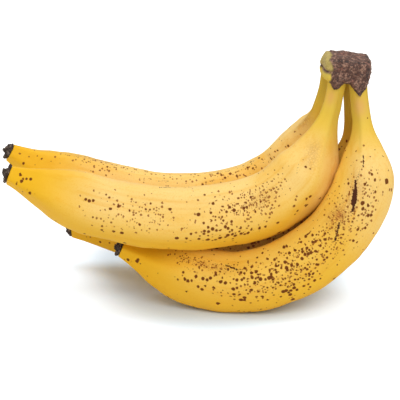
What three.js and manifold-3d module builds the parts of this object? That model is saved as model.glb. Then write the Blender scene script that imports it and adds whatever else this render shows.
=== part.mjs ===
// A bunch of four bananas that hang together at one crown.
// Units are millimetres and +Z is up. The bunch lies on its two lower fingers, with the crown at
// +X, the blossom ends at -X, and the concave side of every finger turned up and towards the tips.

import * as THREE from 'three';
import { mergeVertices } from 'three/addons/utils/BufferGeometryUtils.js';
import Module from 'manifold-3d';

const wasm = await Module();
wasm.setup();

// Driving dimensions of the fingers.
// path: the centreline from inside the crown to the blossom end.
// belly, neck and point: radii, where point is the radius that the tip's taper runs out to.
// shoulder: distance from the crown where the neck begins and ends swelling into the belly.
// taper: length of the narrowing tip, and how far past the end it would run on.
// slowSwell: share of the belly radius that is gained only gradually beyond the shoulder.
// slimming: share of the belly radius lost again towards the tip.
// faces: directions of the five flattish faces, in degrees from the front towards the concave side.
const FINGERS = {
  front_upper: {
    path: [
      [79, -12, 130], [77, -12, 117], [75, -13, 109], [70, -16, 95], [62, -19, 78],
      [50, -21, 66], [34, -22, 57.5], [-7, -29, 53.5], [-52, -28, 60], [-82, -26, 70],
      [-101.5, -24, 77],
    ],
    belly: 17.8, neck: 5, point: 4.2, shoulder: [21, 62], taper: [46, 10],
    slowSwell: 0, slimming: 0.05, faces: [28, 106, 172, 240, 310],
  },
  back_upper: {
    path: [
      [76.5, 0, 133], [74, 1, 119], [70, 5, 104], [64, 15, 86.5], [54.5, 20, 68],
      [42, 20, 58.5], [26, 18, 52], [-14, 11, 50], [-58, 10, 59.5], [-88, 10, 71],
      [-103.5, 9, 80],
    ],
    belly: 16.6, neck: 5, point: 2.8, shoulder: [24, 67], taper: [46, 14],
    slowSwell: 0, slimming: 0.02, faces: [32, 104, 175, 246, 319],
  },
  front_lower: {
    path: [
      [90, -12, 128], [91, -13, 117], [92.5, -16, 105], [94, -22, 91], [94, -28.5, 74],
      [84, -31, 52], [61.5, -31, 29], [27, -29, 16], [-17, -19, 22], [-40.5, -18, 32],
    ],
    belly: 17.5, neck: 5, point: 4.2, shoulder: [22, 56], taper: [46, 8],
    slowSwell: 0.2, slimming: 0.05, faces: [-20, 52, 124, 196, 268],
  },
  back_lower: {
    path: [
      [87.5, 0, 128], [88.5, 1, 116], [89.5, 2, 102], [90, 3, 84], [86, 3, 63],
      [74.5, 3, 41], [53, 5, 23], [26, 7.5, 14.5], [-31, 34, 20.5], [-73, 44, 22],
    ],
    belly: 15.8, neck: 5, point: 3.6, shoulder: [27, 64], taper: [54, 9],
    slowSwell: 0.1, slimming: 0.05, faces: [-18, 54, 127, 200, 271],
  },
};
const SLOW_SWELL_END = 110;
const SLIMMING_FROM = 0.4;
const SLIMMING_OVER = 0.45;

// Section of the peel: a rounded pentagon, sharper towards the neck and the tip.
const FACE_POWER_BELLY = 5;
const FACE_POWER_ENDS = 8;
const NECK_BLEND = 70;
const TIP_BLEND = 60;
const MEAN_SECTION = 1.03;

// Facets of a finger, and the level of the surface that presses the lower fingers flat.
const LENGTH_STEPS = 40;
const SIDES = 18;
const SURFACE_LEVEL = 0;

// Dried blossom ends: a ragged disc with a nub, set just off the tip.
const BLOSSOM_GAP = 0.3;
const BLOSSOM_SIDES = 12;
const BLOSSOM_PROFILE = [
  [0, 0], [0.94, 0], [1.02, 0.7], [0.88, 1.6], [0.46, 2.2], [0.37, 3.3], [0.2, 4], [0, 4.2],
];

// Crown: a boxy pad over the necks, the stub of the cut stalk, and a pointed collar down each neck.
const PAD_CENTRE = [84.8, -6, 134.2];
const PAD_HALF = [14.2, 13.2, 7.6];
const PAD_POWER = 3.6;
const PAD_TILT = 0.1;
const PAD_LUMP = 0.03;
const PAD_SIDES = 22;
const PAD_RINGS = 14;
const STUB_FROM = [75.5, -2, 137.5];
const STUB_TO = [84, -4, 136];
const STUB_RADIUS = 5.2;
const STUB_SIDES = 12;
const COLLAR_TOP = -6;
const COLLAR_WALL = 0.9;
const COLLAR_BULGE = 1.3;
const COLLAR_STEPS = 5;
const COLLAR_POINT_SPREAD = 75;
const COLLARS = {
  front_upper: { depth: 2.5, point: 3, towards: 5 },
  back_upper: { depth: 5, point: 3, towards: 180 },
  front_lower: { depth: 2.5, point: 5, towards: -5 },
  back_lower: { depth: 2.5, point: 4, towards: 190 },
};
const NECK_CLEARANCE = 0.3;
const NECK_CUT_DEPTH = 26;

const PEEL = { color: 0xf0be46, roughness: 0.5, metalness: 0 };
const CROWN_SKIN = { color: 0x785548, roughness: 0.85, metalness: 0 };
const DRIED_BLOSSOM = { color: 0x2e1f14, roughness: 0.9, metalness: 0 };

const FRONT = new THREE.Vector3(0, -1, 0);
const UP_THE_LATHE = new THREE.Vector3(0, 1, 0);
const { smoothstep, degToRad } = THREE.MathUtils;

const vector = ([x, y, z]) => new THREE.Vector3(x, y, z);

// A finger's centreline, with the frame that its sections stand in.
function centreline(finger) {
  const curve = new THREE.CatmullRomCurve3(finger.path.map(vector));
  const length = curve.getLength();
  const frameAt = (s) => {
    const share = THREE.MathUtils.clamp(s / length, 0, 1);
    const along = curve.getTangentAt(share);
    const centre = curve.getPointAt(share).addScaledVector(along, Math.min(s, 0));
    const front = FRONT.clone().addScaledVector(along, -FRONT.dot(along)).normalize();
    const inner = along.clone().cross(front);
    return { centre, along, front, inner };
  };
  return { length, frameAt };
}

// Mean radius at a distance s from the crown: neck, shoulder, belly, then the tapering tip.
function radiusAt(finger, s, length) {
  const { belly, neck, point, shoulder, taper } = finger;
  const gradual = finger.slowSwell * (1 - smoothstep(s, 0, SLOW_SWELL_END));
  const slimmed = smoothstep(s, SLIMMING_FROM * length, (SLIMMING_FROM + SLIMMING_OVER) * length);
  const full = belly * (1 - gradual - finger.slimming * slimmed);
  const swelling = neck + (full - neck) * smoothstep(s, shoulder[0], shoulder[1]);
  const tapering = point + (full - point) * smoothstep(length - s, -taper[1], taper[0]);
  return Math.min(swelling, tapering);
}

// Rounded pentagon: the faces' cosines, raised to a power and summed.
function sectionAt(finger, theta, s, length) {
  const middle = smoothstep(s, finger.shoulder[0], finger.shoulder[0] + NECK_BLEND)
    * smoothstep(length - s, 0, TIP_BLEND);
  const power = FACE_POWER_ENDS + (FACE_POWER_BELLY - FACE_POWER_ENDS) * middle;
  const total = finger.faces.reduce(
    (sum, face) => sum + Math.max(0, Math.cos(theta - degToRad(face))) ** power, 0);
  return total ** (-1 / power) / MEAN_SECTION;
}

// A point on a finger's peel, or on a skin that lies a little outside it.
function peelPoint(finger, line, s, theta, outside = 0) {
  const { centre, front, inner } = line.frameAt(s);
  const radius = radiusAt(finger, s, line.length) * sectionAt(finger, theta, s, line.length);
  return centre
    .addScaledVector(front, (radius + outside) * Math.cos(theta))
    .addScaledVector(inner, (radius + outside) * Math.sin(theta));
}

// Closed solid through a row of rings, each end closed by a fan to its ring's middle.
function solidThroughRings(rings) {
  const sides = rings[0].length;
  const middleOf = (ring) => ring.reduce((sum, p) => sum.add(p), new THREE.Vector3()).divideScalar(sides);
  const points = [...rings.flat(), middleOf(rings[0]), middleOf(rings.at(-1))];
  const startMiddle = points.length - 2;
  const endMiddle = points.length - 1;
  const lastRing = (rings.length - 1) * sides;
  const index = [];
  for (let side = 0; side < sides; side++) {
    const next = (side + 1) % sides;
    for (let ring = 0; ring < rings.length - 1; ring++) {
      const near = ring * sides;
      const far = near + sides;
      index.push(near + side, near + next, far + next);
      index.push(near + side, far + next, far + side);
    }
    index.push(startMiddle, next, side);
    index.push(endMiddle, lastRing + side, lastRing + next);
  }
  const geometry = new THREE.BufferGeometry().setFromPoints(points);
  geometry.setIndex(index);
  return geometry;
}

const anglesAround = Array.from({ length: SIDES }, (_, side) => (2 * Math.PI * side) / SIDES);
const stepsAlong = (count) => Array.from({ length: count + 1 }, (_, step) => step / count);

function fingerGeometry(finger) {
  const line = centreline(finger);
  const rings = stepsAlong(LENGTH_STEPS).map((share) => anglesAround.map((theta) => {
    const point = peelPoint(finger, line, share * line.length, theta);
    point.z = Math.max(point.z, SURFACE_LEVEL);
    return point;
  }));
  return solidThroughRings(rings);
}

// The dried blossom end turns about the finger's last direction.
function blossomEnd(finger) {
  const line = centreline(finger);
  const { centre, along } = line.frameAt(line.length);
  const radius = radiusAt(finger, line.length, line.length);
  const profile = BLOSSOM_PROFILE.map(([share, height]) => new THREE.Vector2(share * radius, height));
  const geometry = new THREE.LatheGeometry(profile, BLOSSOM_SIDES);
  const position = centre.addScaledVector(along, BLOSSOM_GAP);
  const turn = new THREE.Quaternion().setFromUnitVectors(UP_THE_LATHE, along);
  return { geometry, position, turn };
}

function toSolid(geometry) {
  const bare = geometry.clone();
  bare.deleteAttribute('normal');
  bare.deleteAttribute('uv');
  const merged = mergeVertices(bare);
  return new wasm.Manifold(new wasm.Mesh({
    numProp: 3,
    vertProperties: Float32Array.from(merged.attributes.position.array),
    triVerts: Uint32Array.from(merged.index.array),
  }));
}

function toGeometry(solid) {
  const mesh = solid.getMesh();
  const geometry = new THREE.BufferGeometry();
  geometry.setAttribute('position', new THREE.BufferAttribute(mesh.vertProperties, mesh.numProp));
  geometry.setIndex(new THREE.BufferAttribute(mesh.triVerts, 1));
  return geometry;
}

// Pad: a superellipsoid with low lumps, leaning a little towards the blossom ends.
function padGeometry() {
  const geometry = new THREE.SphereGeometry(1, PAD_SIDES, PAD_RINGS);
  const position = geometry.attributes.position;
  for (let index = 0; index < position.count; index++) {
    const point = new THREE.Vector3().fromBufferAttribute(position, index);
    const powers = point.toArray().map((value) => Math.abs(value) ** PAD_POWER);
    const boxy = (powers[0] + powers[1] + powers[2]) ** (-1 / PAD_POWER);
    const lump = 1 + PAD_LUMP * Math.sin(5 * point.x + 2 * point.z) * Math.cos(6 * point.y - 3 * point.z);
    point.multiplyScalar(boxy * lump).multiply(vector(PAD_HALF));
    position.setXYZ(index, ...point.toArray());
  }
  return geometry.rotateY(PAD_TILT).translate(...PAD_CENTRE);
}

function stubGeometry() {
  const reach = vector(STUB_TO).sub(vector(STUB_FROM));
  const geometry = new THREE.CapsuleGeometry(STUB_RADIUS, reach.length(), 4, STUB_SIDES);
  const turn = new THREE.Quaternion().setFromUnitVectors(UP_THE_LATHE, reach.clone().normalize());
  const middle = vector(STUB_FROM).addScaledVector(reach, 0.5);
  return geometry.applyQuaternion(turn).translate(...middle.toArray());
}

// Collar: a bulging skin that grows out of the pad and whose lower edge runs down the neck to one point.
function collarGeometry(finger, collar) {
  const line = centreline(finger);
  const edgeAt = (theta) => {
    const turned = Math.cos(theta - degToRad(collar.towards));
    const away = THREE.MathUtils.radToDeg(Math.acos(THREE.MathUtils.clamp(turned, -1, 1)));
    return collar.depth + collar.point * Math.max(0, 1 - away / COLLAR_POINT_SPREAD);
  };
  const wallAt = (share) => COLLAR_WALL + COLLAR_BULGE * Math.sin(Math.PI * share);
  const depthAt = (theta, share) => COLLAR_TOP + share * (edgeAt(theta) - COLLAR_TOP);
  const rings = stepsAlong(COLLAR_STEPS).map((share) => anglesAround.map(
    (theta) => peelPoint(finger, line, depthAt(theta, share), theta, wallAt(share))));
  return solidThroughRings(rings);
}

// What a neck takes out of the crown: the neck itself with its clearance.
function neckCutGeometry(finger) {
  const line = centreline(finger);
  const depths = [-NECK_CLEARANCE, ...stepsAlong(COLLAR_STEPS).map((share) => share * NECK_CUT_DEPTH)];
  const rings = depths.map((s) => anglesAround.map(
    (theta) => peelPoint(finger, line, s, theta, NECK_CLEARANCE)));
  return solidThroughRings(rings);
}

function crownGeometry() {
  let crown = toSolid(padGeometry()).add(toSolid(stubGeometry()));
  for (const [place, collar] of Object.entries(COLLARS)) {
    crown = crown.add(toSolid(collarGeometry(FINGERS[place], collar)));
  }
  for (const finger of Object.values(FINGERS)) {
    crown = crown.subtract(toSolid(neckCutGeometry(finger)));
  }
  return toGeometry(crown);
}

function namedMesh(name, geometry, look) {
  geometry.computeVertexNormals();
  const mesh = new THREE.Mesh(geometry, new THREE.MeshStandardMaterial(look));
  mesh.name = name;
  return mesh;
}

const bunch = new THREE.Group();
bunch.add(namedMesh('crown', crownGeometry(), CROWN_SKIN));
for (const [place, finger] of Object.entries(FINGERS)) {
  bunch.add(namedMesh(`finger_${place}`, fingerGeometry(finger), PEEL));
  const { geometry, position, turn } = blossomEnd(finger);
  const blossom = namedMesh(`blossom_end_${place}`, geometry, DRIED_BLOSSOM);
  blossom.position.copy(position);
  blossom.quaternion.copy(turn);
  bunch.add(blossom);
}

export default bunch;
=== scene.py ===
"""A bunch of four freckled bananas at one crown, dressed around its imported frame.

Lengths are in metres and angles in degrees. The bunch lies on its two lower fingers, with the crown at
+X, the blossom ends at -X and the photograph's side at -Y. A place on a finger is its distance from the
crown along the centreline, and its angle round it: 0 at the front, 90 on the concave side, 180 at the
back and 270 on the convex side.
"""

import math

import bpy
import numpy as np
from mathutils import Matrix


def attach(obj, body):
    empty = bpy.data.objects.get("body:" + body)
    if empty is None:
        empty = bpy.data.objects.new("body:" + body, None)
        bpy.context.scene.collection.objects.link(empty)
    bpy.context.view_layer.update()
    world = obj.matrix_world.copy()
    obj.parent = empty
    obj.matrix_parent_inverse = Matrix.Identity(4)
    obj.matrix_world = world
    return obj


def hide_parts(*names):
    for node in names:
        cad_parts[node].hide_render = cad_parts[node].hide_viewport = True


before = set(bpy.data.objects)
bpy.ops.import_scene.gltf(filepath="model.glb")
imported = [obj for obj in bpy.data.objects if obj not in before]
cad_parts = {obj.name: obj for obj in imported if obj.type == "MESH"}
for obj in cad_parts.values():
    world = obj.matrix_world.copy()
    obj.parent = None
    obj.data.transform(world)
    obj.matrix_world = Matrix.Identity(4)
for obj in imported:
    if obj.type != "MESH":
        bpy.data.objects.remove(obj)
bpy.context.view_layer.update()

# Fingers: centreline, radii, and the five flattish faces of the peel, close to the solids.
FINGERS = {
    "front_upper": {
        "path": [
            (0.079, -0.012, 0.130), (0.077, -0.012, 0.117), (0.075, -0.013, 0.109), (0.070, -0.016, 0.095),
            (0.062, -0.019, 0.078), (0.050, -0.021, 0.066), (0.034, -0.022, 0.0575), (-0.007, -0.029, 0.0535),
            (-0.052, -0.028, 0.060), (-0.082, -0.026, 0.070), (-0.1015, -0.024, 0.077),
        ],
        "belly": 0.0178, "neck": 0.005, "point": 0.0042, "shoulder": (0.021, 0.062), "taper": (0.046, 0.010),
        "slow_swell": 0.0, "slimming": 0.05, "faces": (28, 106, 172, 240, 310),
    },
    "back_upper": {
        "path": [
            (0.0765, 0.0, 0.133), (0.074, 0.001, 0.119), (0.070, 0.005, 0.104), (0.064, 0.015, 0.0865),
            (0.0545, 0.020, 0.068), (0.042, 0.020, 0.0585), (0.026, 0.018, 0.052), (-0.014, 0.011, 0.050),
            (-0.058, 0.010, 0.0595), (-0.088, 0.010, 0.071), (-0.1035, 0.009, 0.080),
        ],
        "belly": 0.0166, "neck": 0.005, "point": 0.0028, "shoulder": (0.027, 0.071), "taper": (0.046, 0.014),
        "slow_swell": 0.0, "slimming": 0.02, "faces": (32, 104, 175, 246, 319),
    },
    "front_lower": {
        "path": [
            (0.090, -0.012, 0.128), (0.091, -0.013, 0.117), (0.0925, -0.016, 0.105), (0.094, -0.022, 0.091),
            (0.094, -0.0285, 0.074), (0.084, -0.031, 0.052), (0.0615, -0.031, 0.029), (0.027, -0.029, 0.016),
            (-0.017, -0.019, 0.022), (-0.0405, -0.018, 0.032),
        ],
        "belly": 0.0175, "neck": 0.005, "point": 0.0042, "shoulder": (0.022, 0.056), "taper": (0.046, 0.008),
        "slow_swell": 0.2, "slimming": 0.05, "faces": (-20, 52, 124, 196, 268),
    },
    "back_lower": {
        "path": [
            (0.0875, 0.0, 0.128), (0.0885, 0.001, 0.116), (0.0895, 0.002, 0.102), (0.090, 0.003, 0.084),
            (0.086, 0.003, 0.063), (0.0745, 0.003, 0.041), (0.053, 0.005, 0.023), (0.026, 0.0075, 0.0145),
            (-0.031, 0.034, 0.0205), (-0.0708, 0.0435, 0.0219),
        ],
        "belly": 0.0158, "neck": 0.005, "point": 0.0036, "shoulder": (0.027, 0.064), "taper": (0.054, 0.009),
        "slow_swell": 0.1, "slimming": 0.05, "faces": (-18, 54, 127, 200, 271),
    },
}
SLOW_SWELL_END = 0.110
SLIMMING_FROM = 0.4
SLIMMING_OVER = 0.45
FACE_POWER_BELLY = 5
FACE_POWER_ENDS = 8
NECK_BLEND = 0.070
TIP_BLEND = 0.060
MEAN_SECTION = 1.03
FLOOR_LEVEL = 0.0
FINGER_STEPS = 420
FINGER_SIDES = 168
CURVE_SAMPLES = 60

# Soft relief: plane waves in each ripple and how far their lengths stray, then the peel's slow unevenness
# as wavelengths, heights and seeds.
RIPPLE_WAVES = 14
RIPPLE_STRETCH = (0.7, 1.4)
PEEL_WAVES = [(0.030, 0.00022, 11), (0.012, 0.00007, 12)]

# Patches of freckles and of finer specks: distance, angle, half length, half width, density.
FRECKLES = {
    "front_upper": [
        (0.111, 28, 0.013, 0.008, 1.0), (0.109, -20, 0.019, 0.004, 1.0), (0.162, 26, 0.020, 0.006, 0.22),
        (0.173, -18, 0.008, 0.004, 0.35), (0.222, 0, 0.006, 0.004, 0.2), (0.073, -24, 0.008, 0.004, 0.3),
        (0.120, 150, 0.022, 0.010, 0.4), (0.085, 215, 0.020, 0.012, 0.5), (0.165, 245, 0.024, 0.010, 0.35),
    ],
    "back_upper": [
        (0.190, 60, 0.026, 0.008, 0.06), (0.098, 50, 0.024, 0.006, 0.55), (0.062, 48, 0.008, 0.004, 0.5),
        (0.105, 170, 0.024, 0.012, 0.55), (0.150, 205, 0.020, 0.010, 0.4), (0.080, 260, 0.020, 0.010, 0.4),
    ],
    "front_lower": [
        (0.125, 9, 0.019, 0.011, 1.5), (0.150, 14, 0.016, 0.008, 0.45), (0.168, 16, 0.016, 0.007, 0.4),
        (0.106, 28, 0.013, 0.006, 0.75), (0.072, -8, 0.017, 0.009, 0.5), (0.216, -18, 0.004, 0.003, 0.5),
        (0.110, 200, 0.026, 0.014, 0.5), (0.150, 250, 0.026, 0.012, 0.45), (0.075, 235, 0.018, 0.010, 0.45),
    ],
    "back_lower": [
        # The dense patch at 0.112 and 52 degrees is partly freckles and partly painted shade on a strip that
        # lies in shade.
        (0.235, -22, 0.012, 0.005, 0.35), (0.112, 52, 0.050, 0.010, 0.8), (0.120, 165, 0.028, 0.013, 0.6),
        (0.165, 190, 0.024, 0.010, 0.5), (0.075, 220, 0.020, 0.010, 0.5), (0.190, 110, 0.022, 0.010, 0.35),
        (0.140, 280, 0.024, 0.010, 0.4),
    ],
}
SPECKS = {
    "front_upper": [
        (0.085, 26, 0.013, 0.006, 1.0), (0.097, 28, 0.020, 0.008, 0.5), (0.158, 20, 0.022, 0.006, 0.35),
        (0.150, 12, 0.014, 0.006, 0.3), (0.100, 170, 0.026, 0.010, 0.6), (0.150, 230, 0.026, 0.012, 0.5),
    ],
    "back_upper": [
        (0.188, 74, 0.030, 0.006, 0.6), (0.120, 60, 0.030, 0.008, 0.3), (0.115, 185, 0.030, 0.014, 0.7),
    ],
    "front_lower": [
        (0.070, 8, 0.020, 0.012, 0.6), (0.169, 44, 0.018, 0.004, 1.0), (0.090, 20, 0.016, 0.010, 0.5),
        (0.130, 20, 0.030, 0.010, 0.4), (0.120, 215, 0.030, 0.016, 0.6),
    ],
    "back_lower": [
        (0.130, 180, 0.036, 0.014, 0.7), (0.080, 240, 0.024, 0.012, 0.5), (0.200, 150, 0.024, 0.010, 0.4),
    ],
}

# Density of stray marks all over, which begin between two distances, below a spotless neck.
FRECKLES_EVERYWHERE = 0.004
SPECKS_EVERYWHERE = 0.012
SPOTLESS_NECK = (0.034, 0.056)

# Rubbed, net-like patches of brown: distance, angle, half length, half width, strength. On the back lower
# finger, the long strip at 0.112 and 52 degrees is painted shade.
SCUFFS_AND_SHADE = {
    "front_upper": [
        (0.043, 16, 0.005, 0.004, 0.4), (0.050, 8, 0.004, 0.003, 0.3), (0.085, 26, 0.009, 0.004, 0.35),
        (0.130, 185, 0.014, 0.006, 0.5),
    ],
    "back_upper": [
        (0.196, 84, 0.014, 0.003, 0.5), (0.036, 70, 0.006, 0.003, 0.5), (0.110, 200, 0.016, 0.006, 0.5),
    ],
    "front_lower": [
        (0.079, 34, 0.007, 0.005, 0.95), (0.062, 24, 0.010, 0.004, 0.5), (0.169, 44, 0.016, 0.002, 0.5),
        (0.100, 230, 0.014, 0.006, 0.5),
    ],
    "back_lower": [
        # The long strip at 0.112 and 52 degrees is painted shade, where the fingers above hide this finger
        # from the light.
        (0.112, 52, 0.050, 0.010, 0.9), (0.110, 190, 0.016, 0.006, 0.6), (0.180, 200, 0.012, 0.005, 0.4),
    ],
}

# Scars: start and end, each a distance and an angle, then the half width and the depth of colour.
SCARS = {
    "front_upper": [
        ((0.137, 82), (0.147, 74), 0.00045, 0.6), ((0.128, 90), (0.132, 88), 0.0004, 0.5),
        ((0.054, 30), (0.060, 22), 0.0004, 0.4), ((0.120, 196), (0.133, 203), 0.0006, 0.7),
    ],
    "back_upper": [((0.092, 160), (0.104, 168), 0.0006, 0.7), ((0.150, 60), (0.156, 58), 0.0004, 0.4)],
    "front_lower": [
        ((0.057, 26), (0.0715, 13), 0.0006, 1.0), ((0.0620, 22), (0.0675, 17), 0.0013, 1.0),
        ((0.052, 18), (0.058, 25), 0.0005, 0.42), ((0.0434, 7), (0.050, 10), 0.00045, 0.5),
        ((0.0815, 22), (0.0905, 9), 0.0008, 0.58), ((0.159, 53), (0.151, 44), 0.0006, 0.6),
        ((0.128, 214), (0.137, 206), 0.0008, 0.8),
    ],
    "back_lower": [((0.098, 172), (0.112, 180), 0.0009, 0.9), ((0.150, 205), (0.160, 200), 0.0006, 0.7)],
}

# Green necks fade out with distance from the crown, and ochre tips with distance from the tip.
GREEN_UNTIL = (0.016, 0.046)
TIP_UNTIL = (0.002, 0.055)

# Pale bellies, partly the ripe peel's own paler tone and partly a painted highlight, strongest on the upper
# side and on the
# upper fingers: where they begin from the crown and from the tip, how they fade towards the convex side by
# the sine of the angle, each finger's share, and more patches in the same form as the freckles', which
# lighten flanks as painted light.
PALE_FROM = (0.023, 0.040)
PALE_UNTIL = (0.010, 0.058)
PALE_AND_HIGHLIGHT_TURN = (-0.75, 0.35)
PALE_AND_HIGHLIGHT_SHARE = {"front_upper": 1.0, "back_upper": 1.0, "front_lower": 0.35, "back_lower": 0.3}
# Pale patches: painted light that lightens flanks which would otherwise lie in shade.
PALE_AND_HIGHLIGHT_PATCHES = {
    "front_upper": [(0.060, -50, 0.016, 0.010, 0.6), (0.046, -45, 0.016, 0.012, 1.0)],
    "back_upper": [(0.070, 250, 0.020, 0.012, 0.6)],
    "front_lower": [(0.062, -60, 0.026, 0.016, 1.0), (0.060, 10, 0.024, 0.014, 0.9)],
    "back_lower": [(0.070, 250, 0.024, 0.014, 0.8)],
}

# Olive skin: patches, how deep they go, and lines on the neck's ridges that fade out between two distances.
# Both patches on the back lower finger, on its neck and along the strip at 0.112 and 52 degrees, are painted
# shade where the fingers above hide it from the light.
OLIVE_AND_SHADE_PATCHES = {
    "front_upper": [(0.006, 60, 0.006, 0.003, 0.4)],
    "back_upper": [(0.012, 40, 0.010, 0.004, 0.4)],
    "front_lower": [(0.012, 70, 0.010, 0.004, 0.4)],
    # Both patches here are painted shade.
    "back_lower": [(0.028, 35, 0.026, 0.016, 1.0), (0.112, 52, 0.050, 0.010, 1.0)],
}
OLIVE_AND_SHADE_DEPTH = 2.0
RIDGE_HALF_WIDTH = 0.0009
RIDGE_FADE = (0.015, 0.062)

# Warm blushes low on the necks, as patches.
BLUSHES = {
    "front_upper": [(0.012, 30, 0.005, 0.003, 0.8)],
    "back_upper": [(0.020, 200, 0.006, 0.004, 0.5)],
    "front_lower": [(0.015, 2, 0.006, 0.004, 0.9)],
    "back_lower": [(0.018, 180, 0.006, 0.004, 0.6)],
}

# Crown: a boxy pad, the stub of the cut stalk, and a pointed collar down each neck. The pad's tilt, the
# stub's gap at its poles and the lumps' two waves, for a unit of direction, are in radians.
PAD_CENTRE = (0.0839, -0.006, 0.1332)
PAD_HALF = (0.0131, 0.0130, 0.0070)
PAD_POWER = 4.6
PAD_TILT = 0.1
PAD_LUMP = 0.03
PAD_LUMP_WAVES = ((5, 0, 2), (0, 6, -3))
PAD_RINGS = 150
PAD_SIDES = 260
STUB_FROM = (0.0755, -0.003, 0.1359)
STUB_TO = (0.084, -0.004, 0.1346)
STUB_RADIUS = 0.0049
STUB_POLE_GAP = 0.02
STUB_LONGEST_OVERRUN = 0.999
STUB_RINGS = 80
STUB_SIDES = 110

# Collars: from inside the pad to an edge that is ragged by waves round it, their shift and slower waves.
COLLAR_TOP = -0.006
COLLAR_WALL = 0.0007
COLLAR_BULGE = 0.0014
COLLAR_SPREAD = 62
COLLAR_RINGS = 40
COLLAR_SIDES = 140
COLLAR_RAGGED = 0.0004
COLLAR_RAGS = (7, 2, 4)
COLLARS = {
    "front_upper": {"depth": 0.0018, "point": 0.0050, "towards": 14},
    "back_upper": {"depth": 0.005, "point": 0.003, "towards": 180},
    "front_lower": {"depth": 0.0014, "point": 0.0072, "towards": -2},
    "back_lower": {"depth": 0.0025, "point": 0.004, "towards": 190},
}

# Lumps all over the crown, as wavelengths, heights and seeds.
CROWN_WAVES = [(0.0085, 0.00026, 21), (0.0036, 0.00013, 22), (0.0016, 0.00006, 23)]

# Yellow-green skin of the stub's side: its edge across, which wavers, how much of the lumps it smooths, how
# soon it turns to the necks' green below the groove, and the groove's height, half width and depth.
GREEN_SKIN_EDGE = (0.0738, 0.0756)
GREEN_SKIN_WAVES = [(0.006, 0.0006, 41)]
GREEN_SKIN_SMOOTHNESS = 0.85
GREEN_SKIN_TURN = 0.002
STUB_GROOVE = (0.1335, 0.0010, 0.0007)

# Dark rims: on the pad where a second side begins, and on the collars towards their lower edge.
PAD_RIM = (0.72, 0.86)
COLLAR_RIM = (0.82, 0.98)

# Dried blossom ends: a ragged disc with a nub, as shares of the tip's radius and heights off the tip. The
# gap at the poles is in steps of the profile.
BLOSSOM_PROFILE = [
    (0.0, 0.0), (0.94, 0.0), (1.02, 0.0007), (0.88, 0.0016), (0.46, 0.0022), (0.37, 0.0033), (0.2, 0.004),
    (0.0, 0.0042),
]
BLOSSOM_GAP = 0.0003
BLOSSOM_POLE_GAP = 0.06
BLOSSOM_RINGS = 60
BLOSSOM_SIDES = 90
BLOSSOM_WAVES = [(0.0040, 0.00030, 31), (0.0016, 0.00014, 32)]

# Camera, floor and lights. The floor's glow, painted light seen only by the camera that lightens its shadows
# away from the bunch, eases in with distance from a centre, squashed in depth, and its tone from cool to
# neutral between two depths behind the front; the cool tone offsets the warm bounce in the shadows in front.
VIEW_TARGET = (0.0033, -0.008, 0.057)
VIEW_ELEVATION = 18
VIEW_DISTANCE = 1.3
VIEW_LENS = 208.9
VIEW_SENSOR = 36
FLOOR_HALF = 2.5
FLOOR_GLOW = (0.0, 0.45)
FLOOR_GLOW_REACH = (0.060, 0.088)
FLOOR_TONE_DEPTH = (0.045, 0.100)
FLOOR_GLOW_CENTRE = (0.013, 0.060)
FLOOR_GLOW_SQUASH = 0.6
FLOOR_BOUNCE = 0.9
FLOOR_ROUGHNESS = 0.9
FLOOR_SPECULAR = 0.1
SURROUND_STRENGTH = 0.66
TOP_LIGHT_PLACE = (0.05, 0.22, 1.48)
TOP_LIGHT_SIZE = 1.2
TOP_LIGHT_POWER = 8
FRONT_LIGHT_PLACE = (0.3, -1.1, 1.1)
FRONT_LIGHT_SIZE = 1.0
FRONT_LIGHT_POWER = 7.2


def smooth_step(value, start, end):
    """Cubic ease from 0 at start to 1 at end."""
    share = np.clip((value - start) / (end - start), 0, 1)
    return share * share * (3 - 2 * share)


def wrapped(angle):
    """The same angle in radians, between minus half a turn and half a turn."""
    return (angle + np.pi) % (2 * np.pi) - np.pi


def ripple(points, wavelength, seed):
    """Soft noise of about unit height: plane waves of about one length in seeded directions, summed."""
    draws = np.random.default_rng(seed)
    directions = draws.normal(size=(3, RIPPLE_WAVES))
    directions /= np.linalg.norm(directions, axis=0)
    stretch = draws.uniform(*RIPPLE_STRETCH, RIPPLE_WAVES)
    phases = draws.uniform(0, 2 * np.pi, RIPPLE_WAVES)
    waves = np.sin(points @ (directions * stretch) * (2 * np.pi / wavelength) + phases)
    return waves.sum(-1) / math.sqrt(RIPPLE_WAVES / 2)


def waved(points, waves):
    """Sum of several ripples, each with its own wavelength, height and seed."""
    return sum(height * ripple(points, wavelength, seed) for wavelength, height, seed in waves)


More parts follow.
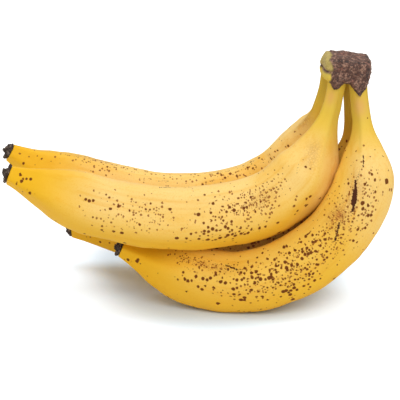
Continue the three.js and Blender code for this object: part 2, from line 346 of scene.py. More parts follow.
def centreline(path, stops):
    """Centripetal Catmull-Rom curve through the path, at the given distances along it.

    Each span is the cubic whose end slopes come from its neighbours, with knots spaced by the square
    root of the chords. Distances before the start run straight on from it.
    """
    given = np.asarray(path, float)
    ends = [2 * given[0] - given[1], *given, 2 * given[-1] - given[-2]]
    knots = np.asarray(ends)
    spans = len(given) - 1
    place = np.linspace(0, spans, CURVE_SAMPLES * spans + 1)
    first = np.minimum(place.astype(int), spans - 1)
    share = (place - first)[:, None]
    before, start, end, after = (knots[first + step] for step in range(4))
    gap_before = np.sqrt(np.linalg.norm(start - before, axis=1))[:, None]
    gap = np.sqrt(np.linalg.norm(end - start, axis=1))[:, None]
    gap_after = np.sqrt(np.linalg.norm(after - end, axis=1))[:, None]
    slope_start = (start - before) / gap_before - (end - before) / (gap_before + gap) + (end - start) / gap
    slope_end = (end - start) / gap - (after - start) / (gap + gap_after) + (after - end) / gap_after
    rise = end - start
    from_start = slope_start * gap
    from_end = slope_end * gap
    cubic = from_start + from_end - 2 * rise
    square = 3 * rise - 2 * from_start - from_end
    curve = start + share * (from_start + share * (square + share * cubic))
    steps = np.linalg.norm(np.diff(curve, axis=0), axis=1)
    travelled = np.concatenate([[0], np.cumsum(steps)])
    slopes = np.gradient(curve, travelled, axis=0)
    if stops is None:
        stops = np.linspace(0, travelled[-1], FINGER_STEPS + 1)
    centre = np.stack([np.interp(stops, travelled, curve[:, axis]) for axis in range(3)], -1)
    along = np.stack([np.interp(stops, travelled, slopes[:, axis]) for axis in range(3)], -1)
    along /= np.linalg.norm(along, axis=-1, keepdims=True)
    centre = centre + along * np.minimum(stops, 0)[..., None]
    return centre, along, stops, travelled[-1]


def finger_radius(finger, distance, length):
    """Mean radius: the neck swells over the shoulder into the belly, which slims and tapers to the tip."""
    gradual = finger["slow_swell"] * (1 - smooth_step(distance, 0, SLOW_SWELL_END))
    slimmed = smooth_step(distance, SLIMMING_FROM * length, (SLIMMING_FROM + SLIMMING_OVER) * length)
    full = finger["belly"] * (1 - gradual - finger["slimming"] * slimmed)
    neck = finger["neck"]
    point = finger["point"]
    taper, overrun = finger["taper"]
    swelling = neck + (full - neck) * smooth_step(distance, *finger["shoulder"])
    tapering = point + (full - point) * smooth_step(length - distance, -overrun, taper)
    return np.minimum(swelling, tapering)


def finger_section(finger, angle, distance, length):
    """Rounded pentagon: the faces' cosines raised to a power and summed, sharper at neck and tip."""
    swollen = finger["shoulder"][0]
    past_neck = smooth_step(distance, swollen, swollen + NECK_BLEND)
    middle = past_neck * smooth_step(length - distance, 0, TIP_BLEND)
    power = FACE_POWER_ENDS + (FACE_POWER_BELLY - FACE_POWER_ENDS) * middle
    faces = np.radians(finger["faces"])
    total = sum(np.maximum(0, np.cos(angle - face)) ** power for face in faces)
    return total ** (-1 / power) / MEAN_SECTION


def round_about(centre, along, angle, reach):
    """Points at an angle and a reach about a line: 0 faces the front, 90 degrees the concave side."""
    front = np.array([0, -1, 0]) - along * (along @ np.array([0, -1, 0]))[..., None]
    front /= np.linalg.norm(front, axis=-1, keepdims=True)
    inner = np.cross(along, front)
    return centre + reach[..., None] * (np.cos(angle)[..., None] * front + np.sin(angle)[..., None] * inner)


def peel_points(finger, distance, angle, outside=0.0):
    """Points of a finger's peel, or of a skin that lies a little outside it."""
    centre, along, stops, length = centreline(finger["path"], distance)
    reach = finger_radius(finger, stops, length) * finger_section(finger, angle, stops, length) + outside
    return round_about(centre, along, angle, reach)


def angles_round(count):
    """Evenly spaced angles in radians round one turn, without the last that meets the first."""
    return np.arange(count) * (2 * np.pi / count)


def closed_tube(rings):
    """Vertices and faces of a closed surface through a grid of rings, with a middle point at each end."""
    rows, sides, _ = rings.shape
    middles = [rings[0].mean(0), rings[-1].mean(0)]
    vertices = np.concatenate([rings.reshape(-1, 3), middles])
    index = np.arange(rows * sides).reshape(rows, sides)
    beside = np.roll(index, -1, axis=1)
    quads = np.stack([index[:-1], beside[:-1], beside[1:], index[1:]], -1).reshape(-1, 4)
    start = np.full(sides, rows * sides)
    opening = np.stack([start, beside[0], index[0]], -1)
    closing = np.stack([start + 1, index[-1], beside[-1]], -1)
    return vertices, quads, np.concatenate([opening, closing])


def joined(surfaces):
    """Several closed surfaces as the vertices and faces of one mesh."""
    starts = np.cumsum([0] + [len(vertices) for vertices, _, _ in surfaces])
    vertices = np.concatenate([vertices for vertices, _, _ in surfaces])
    quads = np.concatenate([quads + start for (_, quads, _), start in zip(surfaces, starts)])
    corners = np.concatenate([corners + start for (_, _, corners), start in zip(surfaces, starts)])
    return vertices, quads, corners


def make_piece(name, surface, node, material, attributes):
    """Puts a surface into a mesh object that stands for a CAD node, with its painted attributes."""
    vertices, quads, corners = surface
    mesh = bpy.data.meshes.new(name)
    mesh.vertices.add(len(vertices))
    mesh.vertices.foreach_set("co", vertices.astype(np.float32).ravel())
    loops = np.concatenate([quads.ravel(), corners.ravel()]).astype(np.int32)
    mesh.loops.add(len(loops))
    mesh.loops.foreach_set("vertex_index", loops)
    totals = np.concatenate([np.full(len(quads), 4), np.full(len(corners), 3)])
    starts = np.concatenate([[0], np.cumsum(totals)[:-1]])
    mesh.polygons.add(len(totals))
    mesh.polygons.foreach_set("loop_start", starts.astype(np.int32))
    mesh.polygons.foreach_set("use_smooth", np.ones(len(totals), bool))
    mesh.update(calc_edges=True)
    for label, values in attributes.items():
        kind, field = ("FLOAT", "value") if values.ndim == 1 else ("FLOAT_VECTOR", "vector")
        layer = mesh.attributes.new(label, kind, "POINT")
        layer.data.foreach_set(field, values.astype(np.float32).ravel())
    mesh.materials.append(material)
    piece = bpy.data.objects.new(name, mesh)
    bpy.context.scene.collection.objects.link(piece)
    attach(piece, "root")
    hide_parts(node)
    return piece


def patches(wanted, distance, angle, radius):
    """Soft elliptic patches on the peel, summed: each is exp(-d^2) for d in its half length and width."""
    total = np.zeros_like(distance)
    for middle, towards, half_length, half_width, strength in wanted:
        lengthwise = (distance - middle) / half_length
        sideways = radius * wrapped(angle - math.radians(towards)) / half_width
        total += strength * np.exp(-lengthwise**2 - sideways**2)
    return np.minimum(total, 1)


def scar_lines(wanted, distance, angle, radius):
    """Lines on the peel: each fades with the distance to its segment on the unrolled surface."""
    total = np.zeros_like(distance)
    for (from_distance, from_angle), (to_distance, to_angle), half_width, strength in wanted:
        turn = math.radians(from_angle)
        run = to_distance - from_distance
        side_run = radius * math.radians(to_angle - from_angle)
        ahead = distance - from_distance
        aside = radius * wrapped(angle - turn)
        share = np.clip((ahead * run + aside * side_run) / (run**2 + side_run**2), 0, 1)
        away = np.hypot(ahead - share * run, aside - share * side_run)
        total = np.maximum(total, strength * np.exp(-((away / half_width) ** 2)))
    return total


def pale_and_highlight_flank(distance, angle, length):
    """Paler peel over the belly's front, top and back, partly its own tone and partly a painted highlight,
    fading out towards the convex side and both ends.
    """
    belly = smooth_step(distance, *PALE_FROM) * smooth_step(length - distance, *PALE_UNTIL)
    return belly * smooth_step(np.sin(angle), *PALE_AND_HIGHLIGHT_TURN)


def ridge_lines(finger, distance, angle, radius):
    """Darker lines on the peel's corners, midway between its faces, which fade out below the shoulder."""
    faces = np.radians(finger["faces"])
    corners = (faces + np.append(faces[1:], faces[0] + 2 * np.pi)) / 2
    lines = [np.exp(-((radius * wrapped(angle - corner) / RIDGE_HALF_WIDTH) ** 2)) for corner in corners]
    return np.max(lines, axis=0) * (1 - smooth_step(distance, *RIDGE_FADE))


def make_finger(place, finger, material):
    """A finger: the peel's section carried along its centreline, waved a little and flat on the floor."""
    _, _, stops, length = centreline(finger["path"], None)
    angle, distance = np.meshgrid(angles_round(FINGER_SIDES), stops)
    points = peel_points(finger, distance, angle)
    points = peel_points(finger, distance, angle, waved(points, PEEL_WAVES))
    points[..., 2] = np.maximum(points[..., 2], FLOOR_LEVEL)
    surface = closed_tube(points)
    distance = np.concatenate([distance.ravel(), [0, length]])
    angle = np.concatenate([angle.ravel(), [0, 0]])
    radius = finger_radius(finger, distance, length)
    # The two end points lie on the centreline.
    radius[-2:] = 0
    straight = np.stack([distance, radius * np.cos(angle), radius * np.sin(angle)], -1)
    # A metre between the straightened fingers gives each its own part of the patterns.
    straight[:, 0] += list(FINGERS).index(place)
    below_neck = smooth_step(distance, *SPOTLESS_NECK)
    # The pale flank is partly the belly's own tone and partly a painted highlight.
    flank = PALE_AND_HIGHLIGHT_SHARE[place] * pale_and_highlight_flank(distance, angle, length)
    pale_and_highlight = np.maximum(flank, patches(PALE_AND_HIGHLIGHT_PATCHES[place], distance, angle, radius))
    # On the back lower finger the olive patches are painted shade; elsewhere olive marks the ridges.
    olive_and_shade = OLIVE_AND_SHADE_DEPTH * patches(OLIVE_AND_SHADE_PATCHES[place], distance, angle, radius)
    freckles = patches(FRECKLES[place], distance, angle, radius)
    specks = patches(SPECKS[place], distance, angle, radius)
    attributes = {
        "straightened": straight,
        "freckle_density": freckles + FRECKLES_EVERYWHERE * below_neck,
        "speck_density": specks + SPECKS_EVERYWHERE * below_neck,
        # On the back lower finger the scuff strip at 0.112 and 52 degrees is painted shade.
        "scuff_and_shade": patches(SCUFFS_AND_SHADE[place], distance, angle, radius),
        "scar": scar_lines(SCARS[place], distance, angle, radius),
        "blush": patches(BLUSHES[place], distance, angle, radius),
        "pale_and_highlight_flank": pale_and_highlight,
        "olive_and_shade": np.maximum(ridge_lines(finger, distance, angle, radius), olive_and_shade),
        "neck_green": 1 - smooth_step(distance, *GREEN_UNTIL),
        "tip_brown": 1 - smooth_step(length - distance, *TIP_UNTIL),
    }
    node = f"finger_{place}"
    return make_piece(f"peel_{place}", surface, node, material, attributes)


def green_skin(points):
    """Share of smooth yellow-green skin: all of it left of a wavering edge, none to the right."""
    across = points[..., 0] + waved(points, GREEN_SKIN_WAVES)
    return 1 - smooth_step(across, *GREEN_SKIN_EDGE)


def stub_groove(points):
    """Brown groove round the green skin, under the stalk stub: exp(-d^2) of the height off its middle."""
    level, half_width, _ = STUB_GROOVE
    return green_skin(points) * np.exp(-(((points[..., 2] - level) / half_width) ** 2))


def crown_relief(points):
    """Lumps of the torn crown, nearly gone on the green skin and cut by the groove under the stub."""
    lumps = waved(points, CROWN_WAVES) * (1 - GREEN_SKIN_SMOOTHNESS * green_skin(points))
    return lumps - STUB_GROOVE[2] * stub_groove(points)


def pad_surface():
    """Superellipsoid with low lumps: a sphere's directions pushed out to a boxy solid, leaning a little."""
    tilt = np.linspace(0.5, PAD_RINGS - 0.5, PAD_RINGS) * (np.pi / PAD_RINGS)
    turn, polar = np.meshgrid(angles_round(PAD_SIDES), tilt)
    way = np.stack([np.sin(polar) * np.cos(turn), np.sin(polar) * np.sin(turn), -np.cos(polar)], -1)
    boxy = (np.abs(way) ** PAD_POWER).sum(-1) ** (-1 / PAD_POWER)
    first_wave, second_wave = np.moveaxis(way @ np.transpose(PAD_LUMP_WAVES), -1, 0)
    lump = 1 + PAD_LUMP * np.sin(first_wave) * np.cos(second_wave)
    points = way * (boxy * lump)[..., None] * PAD_HALF
    cosine = math.cos(PAD_TILT)
    sine = math.sin(PAD_TILT)
    lean = np.array([[cosine, 0, sine], [0, 1, 0], [-sine, 0, cosine]])
    points = points @ lean.T + PAD_CENTRE
    points = points + way * crown_relief(points)[..., None]
    second = np.sort(np.abs(way) * boxy[..., None], axis=-1)[..., 1]
    return closed_tube(points), smooth_step(second, *PAD_RIM)


def stub_surface():
    """Capsule: a circle carried along a straight line, whose radius rounds off at both ends."""
    start = np.array(STUB_FROM)
    reach = np.array(STUB_TO) - start
    span = np.linalg.norm(reach)
    along = reach / span
    turns = np.linspace(STUB_POLE_GAP, np.pi - STUB_POLE_GAP, STUB_RINGS)
    centre = start + along * (span / 2 - np.cos(turns) * (span / 2 + STUB_RADIUS))[:, None]
    overrun = np.abs(np.cos(turns) * (span / 2 + STUB_RADIUS)) - span / 2
    radius = np.sqrt(STUB_RADIUS**2 - np.clip(overrun, 0, STUB_RADIUS * STUB_LONGEST_OVERRUN) ** 2)
    angle, radius = np.meshgrid(angles_round(STUB_SIDES), radius)
    centre = np.broadcast_to(centre[:, None], (*angle.shape, 3))
    along = np.broadcast_to(along, centre.shape)
    points = round_about(centre, along, angle, radius)
    points = round_about(centre, along, angle, radius + crown_relief(points))
    return closed_tube(points), np.zeros_like(angle)


def collar_surface(finger, collar):
    """Bulging skin that grows out of the pad, its lower edge running down the neck to one ragged point."""
    share, angle = np.meshgrid(np.linspace(0, 1, COLLAR_RINGS), angles_round(COLLAR_SIDES), indexing="ij")
    away = np.degrees(np.abs(wrapped(angle - math.radians(collar["towards"]))))
    edge = collar["depth"] + collar["point"] * np.maximum(0, 1 - away / COLLAR_SPREAD)
    many, shift, few = COLLAR_RAGS
    edge = edge + COLLAR_RAGGED * np.sin(many * angle + shift) * np.cos(few * angle)
    distance = COLLAR_TOP + share * (edge - COLLAR_TOP)
    wall = COLLAR_WALL + COLLAR_BULGE * np.sin(np.pi * share)
    points = peel_points(finger, distance, angle, wall)
    points = peel_points(finger, distance, angle, wall + crown_relief(points))
    return closed_tube(points), smooth_step(share, *COLLAR_RIM)


def make_crown(material):
    """The crown: pad, stalk stub and collars in one mesh, with the yellow-green skin at the stub's side."""
    collars = [collar_surface(FINGERS[place], collar) for place, collar in COLLARS.items()]
    forms = [pad_surface(), stub_surface(), *collars]
    surface = joined([form for form, _ in forms])
    vertices = surface[0]
    rims = [np.concatenate([rim.ravel(), [0, 0]]) for _, rim in forms]
    attributes = {
        "green_skin": green_skin(vertices),
        "stub_groove": stub_groove(vertices),
        "dark_rim": np.concatenate(rims),
    }
    return make_piece("crown_pad", surface, "crown", material, attributes)


def make_blossom_end(place, finger, material):
    """Dried blossom end: a ragged disc with a nub, turned about the finger's last direction."""
    _, _, _, length = centreline(finger["path"], None)
    tip, along, _, _ = centreline(finger["path"], np.array([length]))
    radius = finger_radius(finger, length, length)
    shares, heights = np.array(BLOSSOM_PROFILE).T
    corners = np.arange(len(shares))
    stops = np.linspace(BLOSSOM_POLE_GAP, corners[-1] - BLOSSOM_POLE_GAP, BLOSSOM_RINGS)
    reach = np.interp(stops, corners, shares) * radius
    height = np.interp(stops, corners, heights) + BLOSSOM_GAP
    angle, reach = np.meshgrid(angles_round(BLOSSOM_SIDES), reach)
    centre = tip + along * height[:, None]
    centre = np.broadcast_to(centre[:, None], (*angle.shape, 3))
    along = np.broadcast_to(along, centre.shape)
    rough = waved(round_about(centre, along, angle, reach), BLOSSOM_WAVES)
    points = round_about(centre + along * rough[..., None], along, angle, reach * (1 + rough / radius))
    node = f"blossom_end_{place}"
    return make_piece(f"dried_blossom_{place}", closed_tube(points), node, material, {})


def paint(red, green, blue):
    """Linear colour of an 8-bit display colour."""
    display = np.array([red, green, blue]) / 255
    linear = np.where(display <= 0.04045, display / 12.92, ((display + 0.055) / 1.055) ** 2.4)
    return (*linear.tolist(), 1.0)


def put(tree, kind, wires, **settings):
    """Adds a node with its settings, and sets or links each input that wires names."""
    node = tree.nodes.new(kind)
    for name, value in settings.items():
        setattr(node, name, value)
    for name, value in wires.items():
        if isinstance(value, bpy.types.NodeSocket):
            tree.links.new(value, node.inputs[name])
        else:
            node.inputs[name].default_value = value
    return node


def calculate(tree, operation, first, second):
    """One sum or comparison of two numbers or sockets."""
    return put(tree, "ShaderNodeMath", {0: first, 1: second}, operation=operation).outputs[0]


def blend_colour(tree, share, first, second):
    """The first colour at a share of 0, the second at 1."""
    return put(tree, "ShaderNodeMix", {0: share, 6: first, 7: second}, data_type="RGBA").outputs[2]


def ease(tree, value, start, end, low=0.0, high=1.0):
    """Smooth step from low, where the value is at start, to high, where it is at end."""
    wires = {"Value": value, "From Min": start, "From Max": end, "To Min": low, "To Max": high}
    return put(tree, "ShaderNodeMapRange", wires, interpolation_type="SMOOTHSTEP").outputs[0]


def noise(tree, place, scale, detail, roughness=0.55, stretch=(1, 1, 1)):
    """Noise of a scale per metre, on a place that is stretched first."""
    stretched = put(tree, "ShaderNodeMapping", {"Vector": place, "Scale": stretch}).outputs[0]
    wires = {"Vector": stretched, "Scale": scale, "Detail": detail, "Roughness": roughness}
    return put(tree, "ShaderNodeTexNoise", wires).outputs


def painted(tree, name):
    """Outputs of an attribute of the piece's own mesh."""
    return put(tree, "ShaderNodeAttribute", {}, attribute_name=name).outputs


def bump(tree, height, strength, depth, normal=None):
    """Low relief in the shading, on top of an earlier relief where one is given."""
    wires = {"Height": height, "Strength": strength, "Distance": depth}
    if normal:
        wires["Normal"] = normal
    return put(tree, "ShaderNodeBump", wires).outputs[0]


def new_material(name):
    """A fresh material, with its node tree and its shader."""
    material = bpy.data.materials.new(name)
    material.use_nodes = True
    return material, material.node_tree, material.node_tree.nodes["Principled BSDF"]


# How far round marks stray from a regular grid, from 0 to 1.
CELL_SCATTER = 0.85


def spots(tree, place, density, scale, smallest, largest, edge):
    """Round marks: a cell has one if its random number is under the local density, of its own radius."""
    cells = put(tree, "ShaderNodeTexVoronoi", {"Vector": place, "Scale": scale, "Randomness": CELL_SCATTER})
    lots = put(tree, "ShaderNodeSeparateColor", {"Color": cells.outputs["Color"]}).outputs
    shown = calculate(tree, "LESS_THAN", lots["Red"], density)
    radius = ease(tree, lots["Green"], 0.0, 1.0, smallest, largest)
    depth = calculate(tree, "SUBTRACT", radius, cells.outputs["Distance"])
    return calculate(tree, "MULTIPLY", ease(tree, depth, -edge, edge), shown)


YELLOW = paint(236, 186, 48)
# Pale yellow: partly the belly's own tone, partly a painted highlight.
PALE_AND_HIGHLIGHT_YELLOW = paint(243, 205, 124)
DEEP_YELLOW = paint(230, 166, 36)
NECK_GREEN = paint(220, 192, 72)
# Olive for the ridges, and as painted shade on the back lower finger.
RIDGE_AND_SHADE_OLIVE = paint(150, 118, 20)
TIP_OCHRE = paint(236, 178, 8)
BLUSH = paint(222, 158, 104)
# Brown of scuffs and freckle halos, and of painted shade on the back lower finger.
MARK_AND_SHADE_BROWN = paint(166, 92, 40)
SPECK_BROWN = paint(132, 66, 12)
FRECKLE_BROWN = paint(104, 50, 8)
SCAR_BROWN = paint(76, 40, 20)

# Noise on the straightened peel: features per metre, detail, roughness and stretch.
WOBBLE = (700, 2)
MOTTLE = (45, 4, 0.55, (0.4, 1, 1))
FIBRE = (900, 3, 0.55, (0.05, 1, 1))
STREAK = (330, 3, 0.55, (0.03, 1, 1))
GRIT = (1300, 3)
SMUDGE = (420, 4)
WOBBLE_REACH = (0.0006, 0.0006, 0.0006)
SCUFF_NET_SCALE = 620

# Round marks: cells per metre, then the smallest radius, the largest and the soft edge in cells.
SPECK_MARKS = (760, 0.22, 0.54, 0.08)
FRECKLE_MARKS = (470, 0.20, 0.52, 0.06)
HALO_MARKS = (470, 0.26, 0.60, 0.12)

# How a texture becomes a share: the texture from and to, then the share from and to, or else from 0 to 1.
PALE_BY_MOTTLE = (0.25, 0.70, 0.6, 1.0)
DEEP_BY_MOTTLE = (0.48, 0.28, 0.0, 0.4)
DEEP_BY_FIBRE = (0.55, 0.80, 0.0, 0.22)
DEEP_BY_GRIT = (0.48, 0.72, 0.0, 0.35)
DEEP_BY_STREAK = (0.50, 0.72, 0.0, 0.4)
OLIVE_AND_SHADE_BY_MOTTLE = (0.35, 0.65, 0.15, 0.45)
SCUFF_BY_NET = (0.16, 0.02)
SCUFF_BY_SMUDGE = (0.42, 0.66, 0.15, 0.7)
FRAY_BY_GRIT = (0.25, 0.75, -0.22, 0.22)
SCAR_BY_DEPTH = (0.28, 0.46)
ROUGHNESS_BY_MOTTLE = (0.3, 0.7, 0.52, 0.62)

# Shares at which the painted tones and marks cover the peel, and the shine and relief of peel and marks.
NECK_COVER = 0.75
TIP_COVER = 0.8
BLUSH_COVER = 0.6
SPECK_COVER = 0.85
HALO_COVER = 0.35
FRECKLE_COVER = 0.95
MARK_ROUGHNESS = 0.3
FIBRE_BUMP = (0.16, 0.0004)
PORE_BUMP = (0.10, 0.0003)
MARK_BUMP = (0.25, 0.0004)
PEEL_SPECULAR = 0.2
PEEL_SCATTER = 0.03
PEEL_SCATTER_RADIUS = (1.0, 0.6, 0.15)
PEEL_SCATTER_SCALE = 0.002


def peel_material():
    """Ripe peel: mottled yellow, green at the neck, ochre at the tip, with freckles, scuffs and scars, a
    painted highlight on the paler upper flanks and painted shade on the back lower finger.
    """
    material, tree, shader = new_material("ripe_peel")
    place = painted(tree, "straightened")["Vector"]
    wobble = noise(tree, place, *WOBBLE)["Color"]
    wires = {0: wobble, 1: WOBBLE_REACH, 2: place}
    uneven = put(tree, "ShaderNodeVectorMath", wires, operation="MULTIPLY_ADD").outputs[0]

    mottle = noise(tree, place, *MOTTLE)["Fac"]
    fibre = noise(tree, place, *FIBRE)["Fac"]
    streak = noise(tree, place, *STREAK)["Fac"]
    grit = noise(tree, place, *GRIT)["Fac"]
    # Paler flank: partly the peel's own tone, partly a painted highlight.
    patchy = ease(tree, mottle, *PALE_BY_MOTTLE)
    flank = calculate(tree, "MULTIPLY", painted(tree, "pale_and_highlight_flank")["Fac"], patchy)
    colour = blend_colour(tree, flank, YELLOW, PALE_AND_HIGHLIGHT_YELLOW)
    colour = blend_colour(tree, ease(tree, mottle, *DEEP_BY_MOTTLE), colour, DEEP_YELLOW)
    colour = blend_colour(tree, ease(tree, fibre, *DEEP_BY_FIBRE), colour, DEEP_YELLOW)
    colour = blend_colour(tree, ease(tree, grit, *DEEP_BY_GRIT), colour, DEEP_YELLOW)
    colour = blend_colour(tree, ease(tree, streak, *DEEP_BY_STREAK), colour, DEEP_YELLOW)
    neck = calculate(tree, "MULTIPLY", painted(tree, "neck_green")["Fac"], NECK_COVER)
    colour = blend_colour(tree, neck, colour, NECK_GREEN)
    tip = calculate(tree, "MULTIPLY", painted(tree, "tip_brown")["Fac"], TIP_COVER)
    colour = blend_colour(tree, tip, colour, TIP_OCHRE)
    # Olive on the ridges, and painted shade on the back lower finger.
    cloudy = ease(tree, mottle, *OLIVE_AND_SHADE_BY_MOTTLE)
    olive_and_shade = calculate(tree, "MULTIPLY", painted(tree, "olive_and_shade")["Fac"], cloudy)
    colour = blend_colour(tree, olive_and_shade, colour, RIDGE_AND_SHADE_OLIVE)
    blush = calculate(tree, "MULTIPLY", painted(tree, "blush")["Fac"], BLUSH_COVER)
    colour = blend_colour(tree, blush, colour, BLUSH)

    # Rubbed scuffs, and a strip of painted shade on the back lower finger.
    wires = {"Vector": uneven, "Scale": SCUFF_NET_SCALE}
    net = put(tree, "ShaderNodeTexVoronoi", wires, feature="DISTANCE_TO_EDGE")
    lines = ease(tree, net.outputs["Distance"], *SCUFF_BY_NET)
    smudge = ease(tree, noise(tree, uneven, *SMUDGE)["Fac"], *SCUFF_BY_SMUDGE)
    rubbed = calculate(tree, "MAXIMUM", lines, smudge)
    scuff_and_shade = calculate(tree, "MULTIPLY", rubbed, painted(tree, "scuff_and_shade")["Fac"])
    colour = blend_colour(tree, scuff_and_shade, colour, MARK_AND_SHADE_BROWN)

    specks = spots(tree, uneven, painted(tree, "speck_density")["Fac"], *SPECK_MARKS)
    colour = blend_colour(tree, calculate(tree, "MULTIPLY", specks, SPECK_COVER), colour, SPECK_BROWN)
    freckles = spots(tree, uneven, painted(tree, "freckle_density")["Fac"], *FRECKLE_MARKS)
    halo = spots(tree, uneven, painted(tree, "freckle_density")["Fac"], *HALO_MARKS)
    colour = blend_colour(tree, calculate(tree, "MULTIPLY", halo, HALO_COVER), colour, MARK_AND_SHADE_BROWN)
    colour = blend_colour(tree, calculate(tree, "MULTIPLY", freckles, FRECKLE_COVER), colour, FRECKLE_BROWN)

    fray = ease(tree, grit, *FRAY_BY_GRIT)
    ragged = calculate(tree, "ADD", painted(tree, "scar")["Fac"], fray)
    scar = ease(tree, ragged, *SCAR_BY_DEPTH)
    colour = blend_colour(tree, scar, colour, SCAR_BROWN)
    tree.links.new(colour, shader.inputs["Base Color"])

    marks = calculate(tree, "MAXIMUM", freckles, scar)
    rough = ease(tree, mottle, *ROUGHNESS_BY_MOTTLE)
    rougher = calculate(tree, "ADD", rough, calculate(tree, "MULTIPLY", marks, MARK_ROUGHNESS))
    tree.links.new(rougher, shader.inputs["Roughness"])
    grain = bump(tree, fibre, *FIBRE_BUMP)
    pores = bump(tree, grit, *PORE_BUMP, grain)
    sunk = bump(tree, calculate(tree, "SUBTRACT", 0.0, marks), *MARK_BUMP, pores)
    tree.links.new(sunk, shader.inputs["Normal"])
    shader.inputs["Specular IOR Level"].default_value = PEEL_SPECULAR
    shader.inputs["Subsurface Weight"].default_value = PEEL_SCATTER
    shader.inputs["Subsurface Radius"].default_value = PEEL_SCATTER_RADIUS
    shader.inputs["Subsurface Scale"].default_value = PEEL_SCATTER_SCALE
    return material


CROWN_BROWN = paint(93, 60, 48)
CROWN_TAN = paint(168, 128, 106)
CROWN_DARK = paint(42, 26, 22)
CROWN_RED = paint(154, 100, 82)
STUB_GREEN = paint(190, 167, 94)
STUB_OLIVE = paint(164, 146, 74)

# Crown textures, shares, roughness and relief, in the same forms as the peel's.
CROWN_BLOTCH = (420, 5, 0.7)
CROWN_GRAIN = (1100, 4, 0.65)
CROWN_CLOUD = (180, 3)
CRACK_SCALE = 520
TAN_BY_BLOTCH = (0.46, 0.62)
RED_BY_CLOUD = (0.52, 0.70, 0.0, 0.7)
DARK_BY_GRAIN = (0.50, 0.36, 0.0, 0.9)
DARK_BY_CRACK = (0.10, 0.0, 0.0, 0.45)
RIM_BY_BLOTCH = (0.62, 0.42, 0.25, 0.9)
OLIVE_BY_GRAIN = (0.40, 0.65)
CROWN_ROUGHNESS_BY_GRAIN = (0.3, 0.7, 0.62, 0.85)
BLOTCH_BUMP = (0.5, 0.0012)
GRAIN_BUMP = (0.5, 0.0006)


def crown_material():
    """Torn, dried crown: mottled browns with dark cracks, and yellow-green skin at the stalk stub."""
    material, tree, shader = new_material("dried_crown")
    place = put(tree, "ShaderNodeTexCoord", {}).outputs["Object"]
    blotch = noise(tree, place, *CROWN_BLOTCH)["Fac"]
    grain = noise(tree, place, *CROWN_GRAIN)["Fac"]
    cloud = noise(tree, place, *CROWN_CLOUD)["Fac"]
    wires = {"Vector": place, "Scale": CRACK_SCALE}
    crack = put(tree, "ShaderNodeTexVoronoi", wires, feature="DISTANCE_TO_EDGE")
    colour = blend_colour(tree, ease(tree, blotch, *TAN_BY_BLOTCH), CROWN_BROWN, CROWN_TAN)
    colour = blend_colour(tree, ease(tree, cloud, *RED_BY_CLOUD), colour, CROWN_RED)
    colour = blend_colour(tree, ease(tree, grain, *DARK_BY_GRAIN), colour, CROWN_DARK)
    cracked = ease(tree, crack.outputs["Distance"], *DARK_BY_CRACK)
    colour = blend_colour(tree, cracked, colour, CROWN_DARK)
    rim = calculate(tree, "MULTIPLY", painted(tree, "dark_rim")["Fac"], ease(tree, blotch, *RIM_BY_BLOTCH))
    bare = blend_colour(tree, rim, colour, CROWN_DARK)

    level = put(tree, "ShaderNodeSeparateXYZ", {"Vector": place}).outputs["Z"]
    below_groove = ease(tree, level, STUB_GROOVE[0], STUB_GROOVE[0] - GREEN_SKIN_TURN)
    skin = blend_colour(tree, ease(tree, grain, *OLIVE_BY_GRAIN), STUB_GREEN, STUB_OLIVE)
    skin = blend_colour(tree, below_groove, skin, NECK_GREEN)
    colour = blend_colour(tree, painted(tree, "green_skin")["Fac"], bare, skin)
    colour = blend_colour(tree, painted(tree, "stub_groove")["Fac"], colour, bare)
    tree.links.new(colour, shader.inputs["Base Color"])
    tree.links.new(ease(tree, grain, *CROWN_ROUGHNESS_BY_GRAIN), shader.inputs["Roughness"])
    coarse = bump(tree, blotch, *BLOTCH_BUMP)
    tree.links.new(bump(tree, grain, *GRAIN_BUMP, coarse), shader.inputs["Normal"])
    return material


BLOSSOM_BLACK = paint(52, 37, 27)
BLOSSOM_GREY = paint(138, 120, 102)
FLAKES = (700, 4, 0.65)
GREY_BY_FLAKES = (0.50, 0.70)
ROUGHNESS_BY_FLAKES = (0.3, 0.7, 0.95, 0.7)
FLAKE_BUMP = (0.7, 0.0008)


def blossom_material():
    """Dried blossom end: near black, with grey-brown flakes."""
    material, tree, shader = new_material("dried_blossom")
    place = put(tree, "ShaderNodeTexCoord", {}).outputs["Object"]
    flakes = noise(tree, place, *FLAKES)["Fac"]
    colour = blend_colour(tree, ease(tree, flakes, *GREY_BY_FLAKES), BLOSSOM_BLACK, BLOSSOM_GREY)
    tree.links.new(colour, shader.inputs["Base Color"])
    tree.links.new(ease(tree, flakes, *ROUGHNESS_BY_FLAKES), shader.inputs["Roughness"])
    tree.links.new(bump(tree, flakes, *FLAKE_BUMP), shader.inputs["Normal"])
    return material


# Cool paper near the front offsets the warm bounce in the floor's shadows there.
PAPER_NEAR = paint(221, 238, 254)
PAPER_FAR = paint(243, 242, 240)
PAPER_BOUNCE = (FLOOR_BOUNCE, FLOOR_BOUNCE, FLOOR_BOUNCE, 1.0)
PAPER_GLOW = (1.0, 1.0, 1.0, 1.0)


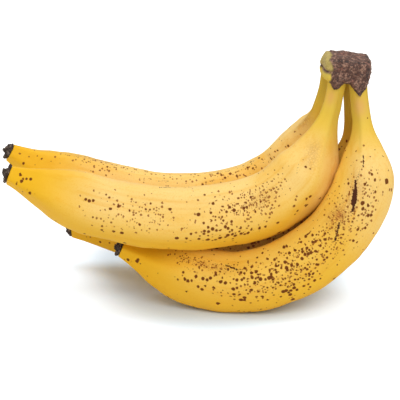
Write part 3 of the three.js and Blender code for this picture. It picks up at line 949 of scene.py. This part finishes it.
def floor_material():
    """Matt white paper: to the eye cool in front and glowing with painted light away from the bunch, plain
    grey as a bounce.
    """
    material, tree, shader = new_material("white_paper")
    place = put(tree, "ShaderNodeTexCoord", {}).outputs["Object"]
    seen = put(tree, "ShaderNodeLightPath", {}).outputs["Is Camera Ray"]
    centre_x, centre_y = FLOOR_GLOW_CENTRE
    shift = (-centre_x, -centre_y * FLOOR_GLOW_SQUASH, 0)
    squash = (1, FLOOR_GLOW_SQUASH, 1)
    spread = put(tree, "ShaderNodeMapping", {"Vector": place, "Location": shift, "Scale": squash}).outputs[0]
    away = put(tree, "ShaderNodeVectorMath", {0: spread}, operation="LENGTH").outputs["Value"]
    depth = put(tree, "ShaderNodeSeparateXYZ", {"Vector": place}).outputs["Y"]
    tone = blend_colour(tree, ease(tree, depth, *FLOOR_TONE_DEPTH), PAPER_NEAR, PAPER_FAR)
    tree.links.new(blend_colour(tree, seen, PAPER_BOUNCE, tone), shader.inputs["Base Color"])
    glow = ease(tree, away, *FLOOR_GLOW_REACH, *FLOOR_GLOW)
    # Painted light: a glow seen only by the camera, lightening the floor's shadows away from the bunch.
    tree.links.new(calculate(tree, "MULTIPLY", seen, glow), shader.inputs["Emission Strength"])
    shader.inputs["Emission Color"].default_value = PAPER_GLOW
    shader.inputs["Roughness"].default_value = FLOOR_ROUGHNESS
    shader.inputs["Specular IOR Level"].default_value = FLOOR_SPECULAR
    return material


def make_floor():
    """The floor: one wide square at the level that the bunch lies on, as stage only."""
    half = FLOOR_HALF
    level = FLOOR_LEVEL
    corners = [(-half, -half, level), (half, -half, level), (half, half, level), (-half, half, level)]
    mesh = bpy.data.meshes.new("floor")
    mesh.from_pydata(corners, [], [(0, 1, 2, 3)])
    mesh.materials.append(floor_material())
    floor = bpy.data.objects.new("floor", mesh)
    bpy.context.scene.collection.objects.link(floor)


def aim(item, place, target):
    """Stands an object at a place and turns its view towards a target."""
    gap = np.array(target) - np.array(place)
    item.location = place
    item.rotation_euler = (math.atan2(np.hypot(gap[0], gap[1]), -gap[2]), 0, math.atan2(-gap[0], gap[1]))


def make_light(name, place, target, size, power):
    """A soft round light of a width and a power, aimed at a target."""
    light = bpy.data.lights.new(name, "AREA")
    light.shape = "DISK"
    light.size = size
    light.energy = power
    lamp = bpy.data.objects.new(name, light)
    bpy.context.scene.collection.objects.link(lamp)
    aim(lamp, place, target)


def make_world():
    """White surroundings: full white to the eye, a softer strength as light."""
    world = bpy.data.worlds.new("white_studio")
    bpy.context.scene.world = world
    world.use_nodes = True
    tree = world.node_tree
    backdrop = tree.nodes["Background"]
    backdrop.inputs["Color"].default_value = (1, 1, 1, 1)
    seen = put(tree, "ShaderNodeLightPath", {}).outputs["Is Camera Ray"]
    tree.links.new(ease(tree, seen, 0.0, 1.0, SURROUND_STRENGTH, 1.0), backdrop.inputs["Strength"])


def make_camera():
    """The photograph's view: square on to the front, from a little above."""
    elevation = math.radians(VIEW_ELEVATION)
    back = np.array([0, -math.cos(elevation), math.sin(elevation)])
    camera = bpy.data.objects.new("camera", bpy.data.cameras.new("camera"))
    camera.data.lens = VIEW_LENS
    camera.data.sensor_width = VIEW_SENSOR
    bpy.context.scene.collection.objects.link(camera)
    aim(camera, np.array(VIEW_TARGET) + VIEW_DISTANCE * back, VIEW_TARGET)
    bpy.context.scene.camera = camera


make_camera()
make_world()
make_floor()
make_light("top_light", TOP_LIGHT_PLACE, VIEW_TARGET, TOP_LIGHT_SIZE, TOP_LIGHT_POWER)
make_light("front_light", FRONT_LIGHT_PLACE, VIEW_TARGET, FRONT_LIGHT_SIZE, FRONT_LIGHT_POWER)
bpy.context.scene.view_settings.view_transform = "Standard"

peel = peel_material()
dried_blossom = blossom_material()
for place_name, finger_form in FINGERS.items():
    make_finger(place_name, finger_form, peel)
    make_blossom_end(place_name, finger_form, dried_blossom)
make_crown(crown_material())
